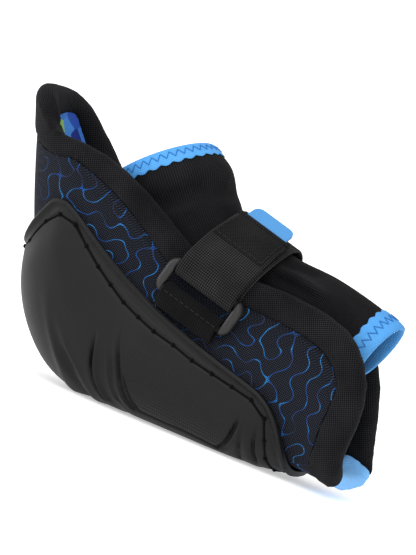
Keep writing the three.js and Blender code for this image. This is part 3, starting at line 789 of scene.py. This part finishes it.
def through(rows, place):
    """The values at a place along a smooth curve through the rows."""
    place = min(max(place, 0), len(rows) - 1)
    k = min(int(place), len(rows) - 2)
    t = place - k
    before, start, stop, after = (np.array(rows[min(max(i, 0), len(rows) - 1)]) for i in range(k - 1, k + 3))
    leaving, coming, rise = (stop - before) / 2, (after - start) / 2, stop - start
    return start + t * (leaving + t * (3 * rise - 2 * leaving - coming + t * (leaving + coming - 2 * rise)))


def on_sleeve(place, degrees, grow):
    """A point of the sleeve's face, raised by grow in mm."""
    x, z, front, deep, wide = through(SLEEVE_ROWS, place)
    for along, round_, spread, round_spread, height in SLEEVE_FOLDS:
        turn = (degrees - round_ + 540) % 360 - 180
        grow += height * math.exp(-(((place - along) / spread) ** 2) - (turn / round_spread) ** 2)
    front, angle = math.radians(front), math.radians(degrees)
    forward = (deep + grow) * math.cos(angle)
    lean = SLEEVE_LEAN * wide * math.sin(angle) * float(soft_step(1 - place / LEAN_ROWS))
    return Vector((
        x + forward * math.cos(front), -(wide + grow) * math.sin(angle), z + forward * math.sin(front) + lean,
    )) * MM


def cloth_grid(name, size, counts, placed):
    """A piece from a flat grid of cloth with its UV in metres; placed gives a point from its two shares."""
    mesh = bpy.data.meshes.new(name)
    bm = bmesh.new()
    uv = bm.loops.layers.uv.new("cloth")
    bmesh.ops.create_grid(bm, x_segments=counts[0], y_segments=counts[1], size=0.5)
    for face in bm.faces:
        for loop in face.loops:
            loop[uv].uv = ((loop.vert.co.x + 0.5) * size[0], (loop.vert.co.y + 0.5) * size[1])
    for vert in bm.verts:
        vert.co = placed(vert.co.x + 0.5, vert.co.y + 0.5)
    bmesh.ops.remove_doubles(bm, verts=bm.verts, dist=MERGE)
    bm.to_mesh(mesh)
    bm.free()
    return new_piece(name, mesh)


def thickened(piece, thickness, offset=0):
    """Gives a sheet its thickness, to both sides or inwards from its face for -1, and rounds its edges."""
    modifier = piece.modifiers.new("thickness", "SOLIDIFY")
    modifier.thickness = thickness
    modifier.offset = offset
    modifier.use_even_offset = True
    rounded(piece, 1)


def sleeve_place(share, turn):
    """A point of the mesh at shares of its length and of its girth."""
    return on_sleeve(SLEEVE_SPAN[0] + share * (SLEEVE_SPAN[1] - SLEEVE_SPAN[0]), -360 * turn, 0)


sleeve = cloth_grid("sleeve_mesh_cloth", SLEEVE_FLAT[::-1], SLEEVE_COUNTS, sleeve_place)
bm = bmesh.new()
bm.from_mesh(sleeve.data)
points, normals = arrays(bm)
for line, half, tall in SLEEVE_CREASES:
    gap, share = off_line(points, line)
    ends = soft_step(share / CREASE_ENDS) * soft_step((1 - share) / CREASE_ENDS)
    points += normals * (tall * hump(gap, half) * ends)[:, None]
for vert, point in zip(bm.verts, points * MM):
    vert.co = point
bm.to_mesh(sleeve.data)
bm.free()
thickened(sleeve, SLEEVE_THICK, -1)
# Stretch mesh: black and dull, with tiny holes that read as a fine dotted grain.
stretch_mesh = cloth(
    "black_stretch_mesh", "#060607", "#303033", MESH_PITCH, MESH_DEPTH, DIAGONAL, follows="UV"
)
fitted(sleeve, stretch_mesh, "sleeve_mesh", "sleeve")

# Cuffs: light blue fold-over elastic, folded round both ends of the sleeve and sewn down with a zigzag. Its
# edge pulls into scallops between the stitches.
# Place along the sleeve, height off its face and share of the scallops, round the elastic's section:
UPPER_CUFF = (
    (0.02, 0.5, 0), (0.1, 0.95, 0), (0.22, 1.1, 0), (0.36, 1.1, 0), (0.48, 0.95, 0.04), (0.56, 0.6, 0.09),
    (0.55, 0.25, 0.08), (0.48, 0.15, 0), (0.47, -1, 0), (0.46, -2.2, 0), (0.3, -2.6, 0), (0.12, -2.4, 0),
    (0.01, -1.8, 0), (0.0, -0.6, 0),
)
FOREARM_CUFF = (
    (7.33, 0.15, 0), (7.26, 0.25, -0.06), (7.25, 0.6, -0.07), (7.33, 0.95, -0.03), (7.48, 1.1, 0),
    (7.68, 1.1, 0), (7.86, 0.95, 0), (7.98, 0.5, 0), (8.0, -0.6, 0), (7.99, -1.8, 0), (7.86, -2.4, 0),
    (7.6, -2.6, 0), (7.36, -2.2, 0), (7.34, -1, 0),
)
# Piece, node, section, scallops, the zigzag's place along the sleeve, its count, and the strip's flat size:
CUFFS = (
    ("upper_cuff_elastic", "sleeve_cuff_upper", UPPER_CUFF, 30, (0.2, 0.42), 40, (22 * MM, 167 * MM)),
    ("forearm_cuff_elastic", "sleeve_cuff_forearm", FOREARM_CUFF, 20, (7.42, 7.64), 27, (30 * MM, 112 * MM)),
)
CUFF_STEPS = 6  # points round the sleeve for each scallop
ZIGZAG_LIFT = 1.15  # in mm
ZIGZAG_STEPS = 4
ZIGZAG_THREAD = 0.32 * MM
FINE_TWIST = 1 * MM  # of the zigzag's and the stitches' thread
FINE_TWIST_DEPTH = 0.1 * MM
ELASTIC_PITCH = 1.5 * MM
ELASTIC_DEPTH = 0.18 * MM
ELASTIC_WAYS = ((1, 0, 0), (1, 0, 0))

# Fold-over elastic: light blue and smooth, with fine lengthwise ribs.
blue_elastic = cloth(
    "blue_fold_over_elastic", "#3d86c8", "#64a6de", ELASTIC_PITCH, ELASTIC_DEPTH, ELASTIC_WAYS,
    follows="UV", sheen=BLUE_SHEEN,
)
# Zigzag thread: a darker blue polyester that sinks into the elastic.
blue_thread = cloth(
    "blue_polyester_thread", "#25609f", "#3a78b8", FINE_TWIST, FINE_TWIST_DEPTH, TWIST_WAYS
)
cuff_pieces = []
for name, node, section, scallops, zigzag, zigzags, flat in CUFFS:
    def cuff_place(share, turn):
        """A point of the elastic at shares of its section and of the sleeve's girth."""
        along, grow, wave = section[round(share * len(section)) % len(section)]
        return on_sleeve(along + wave * abs(math.sin(math.pi * scallops * turn)), -360 * turn, grow)

    cuff = cloth_grid(name, flat, (len(section), CUFF_STEPS * scallops), cuff_place)
    rounded(cuff, 1)
    fitted(cuff, blue_elastic, "cuff_elastic", node)
    corners = [(zigzag[k % 2], k / (2 * zigzags)) for k in range(2 * zigzags + 1)]
    path = []
    for (start, turn), (stop, next_turn) in zip(corners[:-1], corners[1:]):
        for share in (k / ZIGZAG_STEPS for k in range(ZIGZAG_STEPS)):
            degrees = -360 * (turn + share * (next_turn - turn))
            path.append(on_sleeve(start + share * (stop - start), degrees, ZIGZAG_LIFT))
    stitches = thread_piece(name.replace("elastic", "zigzag"), [path], ZIGZAG_THREAD, closed=True)
    fitted(stitches, blue_thread, "cuff_elastic")
    cuff_pieces += [cuff, stitches]

# Webbing: a short length of ribbed black tape, folded round the ring's lower bar and sewn under the cap's
# rim. One row of stitches just below the ring closes its loop.
RING_SPOT = Vector((0, 0, 78.2 * MM))  # the rows start from here
STRAP_TURN = math.radians(76.5)  # from +X to the way up the strap
STRAP_UP = Vector((math.cos(STRAP_TURN), 0, math.sin(STRAP_TURN)))
STRAP_WIDE = Vector((math.sin(STRAP_TURN), 0, -math.cos(STRAP_TURN)))
# Across the arm, up from the ring, and width, in mm, along the tape:
WEBBING_ROWS = (
    (-39.7, -18, 40), (-39, -14, 40), (-38.2, -9, 40), (-38.5, -5.2, 40), (-41.3, -3.5, 40),
    (-43.9, -4.9, 40), (-45.3, -8.5, 40), (-44.9, -12, 40), (-43.2, -15.5, 40), (-42.1, -18, 40),
)
WEBBING_THICK = 1.8 * MM
WEBBING_COUNTS = (40, 32)
WEBBING_RIB = 2.8 * MM
WEBBING_RIB_DEPTH = 0.35 * MM
WEBBING_RIB_WAYS = ((0.1, 1, 0), (0.1, 1, 0))
LOOP_SEAM = 10.5  # mm from the tape's end to the row of stitches
LOOP_SEAM_ENDS = (0.03, 0.97)  # shares of the tape's width that the row runs between
PATH_STEPS = 12  # points between two rows
STITCH = 0.28 * MM
STITCH_LONG, STITCH_GAP = 2.4, 1.2  # in mm
STITCH_LIFT = 0.1  # mm from the cloth to the thread's middle


def ribbon_run(rows):
    """The middle of a tape, point by point, and how far along it each point is, in mm."""
    path = np.array([through(rows, k / PATH_STEPS) for k in range((len(rows) - 1) * PATH_STEPS + 1)])
    lengths = np.linalg.norm(np.diff(path[:, :2], axis=0), axis=1)
    return path, np.concatenate([[0], np.cumsum(lengths)])


def on_ribbon(run, along, share, lift):
    """A point at a length along a tape and a share across it, lifted off its middle, in mm."""
    path, lengths = run
    y, up, width = (np.interp(along, lengths, path[:, k]) for k in range(3))
    before, after = (
        np.array([np.interp(along + step, lengths, path[:, k]) for k in range(2)]) for step in (-1, 1)
    )
    way = (after - before) / np.linalg.norm(after - before)
    spot = RING_SPOT + Vector((0, (y + lift * way[1]) * MM, 0))
    return spot + STRAP_UP * ((up - lift * way[0]) * MM) + STRAP_WIDE * ((0.5 - share) * width * MM)


def ribbon(name, run, span, counts, edges=(0, 1), lift=0.0):
    """A tape between two lengths along its run."""
    size = ((span[1] - span[0]) * MM, run[0][0, 2] * (edges[1] - edges[0]) * MM)
    return cloth_grid(
        name, size, counts,
        lambda share, side: on_ribbon(
            run, span[0] + share * (span[1] - span[0]), edges[0] + side * (edges[1] - edges[0]), lift
        ),
    )


def stitch_row(run, start, stop, lift):
    """Separate stitches along a straight row, from one length and share across to another."""
    start, stop = np.array(start, float), np.array(stop, float)
    reach = np.linalg.norm((stop - start) * (1, run[0][0, 2]))
    step = STITCH_LONG + STITCH_GAP
    count = max(int(reach / step), 1)
    row = []
    for k in range(count):
        spots = [start + (stop - start) * (k + side * STITCH_LONG / step) / count for side in (0, 0.5, 1)]
        row.append([on_ribbon(run, along, share, lift) for along, share in spots])
    return row


webbing_run = ribbon_run(WEBBING_ROWS)
webbing_long = webbing_run[1][-1]
webbing = ribbon("ring_webbing_tape", webbing_run, (0, webbing_long), WEBBING_COUNTS)
thickened(webbing, WEBBING_THICK)
# Ribbed polyester webbing: black, with rows of raised threads along it.
ribbed_webbing = cloth(
    "black_ribbed_webbing", "#010101", "#1e1e20", WEBBING_RIB, WEBBING_RIB_DEPTH, WEBBING_RIB_WAYS,
    follows="UV",
)
fitted(webbing, ribbed_webbing, "webbing", "ring_webbing")
seam_ends = [(webbing_long - LOOP_SEAM, share) for share in LOOP_SEAM_ENDS]
loop_row = stitch_row(webbing_run, *seam_ends, WEBBING_THICK / MM / 2 + STITCH_LIFT)
webbing_stitches = thread_piece("webbing_stitches", loop_row, STITCH)
# Bonded sewing thread: near black, but lighter than the cloth it lies on.
bonded_thread = cloth(
    "bonded_sewing_thread", "#151516", "#3a3a3c", FINE_TWIST, FINE_TWIST_DEPTH, TWIST_WAYS
)
fitted(webbing_stitches, bonded_thread, "webbing")

# Ring: a rectangular loop moulded in dark grey nylon, with rounded bars. The webbing holds its lower bar and
# the strap runs round its upper one.
RING_GRAIN = 0.6 * MM
RING_SOFTENING = 5
RING_SWELL = 0.15 * MM
RING_ENDS = (20.3 * MM, 1.5 * MM)  # where the bars come out of the tapes, and how soon they are full
RING_END_SWELL = 1.0 * MM
NYLON_GRAIN = 1.2 * MM
NYLON_DEPTH = 0.08 * MM


def moulded(name, hollow, crest, roughness, gloss, grain_size, detail, depth):
    """A moulded plastic or rubber with a faint grain."""
    material, tree, shader = new_material(name, roughness, **{"Specular IOR Level": gloss})
    place = add_node(tree, "TexCoord").outputs["Object"]
    grain = add_node(tree, "TexNoise", {"Vector": place, "Scale": 1 / grain_size, "Detail": detail})
    add_node(
        tree, "Mix", {"Factor": grain, "A": linear(hollow), "B": linear(crest)}, data_type="RGBA",
        to=shader.inputs["Base Color"],
    )
    add_node(tree, "Bump", {"Height": grain, "Distance": depth}, to=shader.inputs["Normal"])
    return material


ring = cad_copy("strap_ring", "strap_ring_moulding")
stuffed(ring, RING_GRAIN, RING_SOFTENING, RING_SWELL)
swollen = []
for vert in ring.data.vertices:
    past_tape = abs((vert.co - RING_SPOT).dot(STRAP_WIDE)) - RING_ENDS[0]
    swollen.append(vert.co + vert.normal * RING_END_SWELL * float(soft_step(past_tape / RING_ENDS[1])))
for vert, spot in zip(ring.data.vertices, swollen):
    vert.co = spot
# Moulded nylon: dark grey, satin, with a faint spark-eroded grain.
nylon = moulded(
    "moulded_nylon", "#0f0f0f", "#1c1b1b", roughness=0.45, gloss=0.4, grain_size=NYLON_GRAIN, detail=3.0,
    depth=NYLON_DEPTH,
)
fitted(ring, nylon, "ring_plastic", "strap_ring")

# Strap: 40 mm woven elastic, sewn on the far panel, drawn over the crook, round the ring and back on itself,
# where hook tape holds it. A finer woven patch is sewn on near its end, and the end is folded in a hem.
# Across the arm, up from the ring, and width, in mm, from the far seam to the end:
STRAP_ROWS = (
    (39.9, -18, 40), (38.8, -11, 40), (37.2, -2, 40), (36.7, 9, 40), (36.6, 17, 40), (31, 27, 40),
    (22, 36, 40), (11, 44.2, 40), (0, 47, 40), (-11, 44.2, 40), (-22, 36, 40), (-31.2, 27, 40),
    (-36.6, 17, 40), (-36.4, 9.5, 40), (-37.2, 5, 40), (-40.4, 3.2, 40), (-43.4, 5, 40), (-44.2, 9.5, 40),
    (-43, 16.5, 40), (-38.4, 24.8, 39), (-31.5, 33, 38), (-22.5, 41, 36), (-11.6, 47.8, 35),
)
STRAP_THICK = 2 * MM
STRAP_COUNTS = (130, 24)
STRAP_PITCH = 1.9 * MM  # drawn a little coarser than the real weave
STRAP_DEPTH = 0.4 * MM
STRAP_FACE = -(STRAP_THICK / MM / 2)  # the strap's outer face, in mm off its middle
PATCH_LONG = 23  # in mm, as the hem's
PATCH_EDGES = (0.04, 0.96)  # shares of the strap's width
PATCH_COUNTS = (24, 24)
PATCH_THICK = 0.7 * MM
PATCH_PITCH = 1.5 * MM
PATCH_DEPTH = 0.2 * MM
SQUARE = ((1, 0, 0), (0, 1, 0))  # threads along and across it
PATCH_SEAM = (1.6, 1.0)  # mm from the patch's start and from the hem to the stitches
PATCH_SEAM_SHARES = (0.07, 0.93)
HEM_LONG = 3.4
HEM_EDGES = (-0.01, 1.01)
HEM_COUNTS = (4, 24)
HEM_LIFT = -0.3
HEM_THICK = 3.2 * MM

strap_run = ribbon_run(STRAP_ROWS)
strap_long = strap_run[1][-1]
strap = ribbon("strap_elastic_tape", strap_run, (0, strap_long), STRAP_COUNTS)
thickened(strap, STRAP_THICK)
# Woven elastic: black, with a coarse basket weave of dull threads.
woven_elastic = cloth(
    "black_woven_elastic", "#030303", "#4e4e50", STRAP_PITCH, STRAP_DEPTH, DIAGONAL, follows="UV"
)
fitted(strap, woven_elastic, "strap_elastic", "strap")
hem_from = strap_long - HEM_LONG
patch_from = hem_from - PATCH_LONG
patch = ribbon(
    "strap_patch", strap_run, (patch_from, hem_from), PATCH_COUNTS, PATCH_EDGES,
    STRAP_FACE - PATCH_THICK / MM / 2,
)
thickened(patch, PATCH_THICK)
# Fine woven label cloth: black, closer and flatter than the elastic under it.
label_weave = cloth(
    "black_label_weave", "#060606", "#343434", PATCH_PITCH, PATCH_DEPTH, SQUARE, follows="UV"
)
fitted(patch, label_weave, "strap_elastic")
hem = ribbon("strap_hem", strap_run, (hem_from, strap_long), HEM_COUNTS, HEM_EDGES, HEM_LIFT)
thickened(hem, HEM_THICK)
facing_marked(hem, RIB_LAY)
fitted(hem, stretch_knit, "strap_elastic")
seam_lift = STRAP_FACE - PATCH_THICK / MM - STITCH_LIFT
corners = [(patch_from + PATCH_SEAM[0], share) for share in PATCH_SEAM_SHARES]
rows = stitch_row(strap_run, *corners, seam_lift)
for corner in corners:
    rows += stitch_row(strap_run, corner, (hem_from - PATCH_SEAM[1], corner[1]), seam_lift)
patch_stitches = thread_piece("strap_patch_stitches", rows, STITCH)
fitted(patch_stitches, bonded_thread, "strap_elastic")

# Pull tab: a flat tongue of blue rubber with rounded corners, moulded in one piece. It is sewn into the
# strap's hem, and the strap is lifted by it.
TAB_WIDE = 28  # in mm, as its corners and rows
TAB_ROWS = [(y, up, TAB_WIDE) for y, up in ((-11.1, 48.2), (-7.5, 50.5), (-4, 52.7), (-1.6, 54.2))]
TAB_THICK = 1.8 * MM
TAB_CORNER = 5.0
TAB_COUNTS = (20, 28)
TAB_GRAIN_DEPTH = 0.05 * MM

tab_run = ribbon_run(TAB_ROWS)
tab_long = tab_run[1][-1]


def tab_place(share, side):
    """Draws the corners of the tab's free end in to a quarter circle."""
    off_middle = abs(side - 0.5) * TAB_WIDE
    over = max(off_middle - (TAB_WIDE / 2 - TAB_CORNER), 0)
    reach = tab_long - TAB_CORNER + math.sqrt(max(TAB_CORNER ** 2 - over ** 2, 0))
    return on_ribbon(tab_run, share * reach, side, 0)


tab = cloth_grid("pull_tab_tongue", (tab_long * MM, TAB_WIDE * MM), TAB_COUNTS, tab_place)
thickened(tab, TAB_THICK)
# Moulded soft rubber: an even light blue, matt, with a faint grain.
blue_rubber = moulded(
    "blue_soft_rubber", "#4284be", "#4c8ec8", roughness=0.55, gloss=0.3, grain_size=RUBBER_GRAIN, detail=2.0,
    depth=TAB_GRAIN_DEPTH,
)
fitted(tab, blue_rubber, "tab_rubber", "pull_tab")
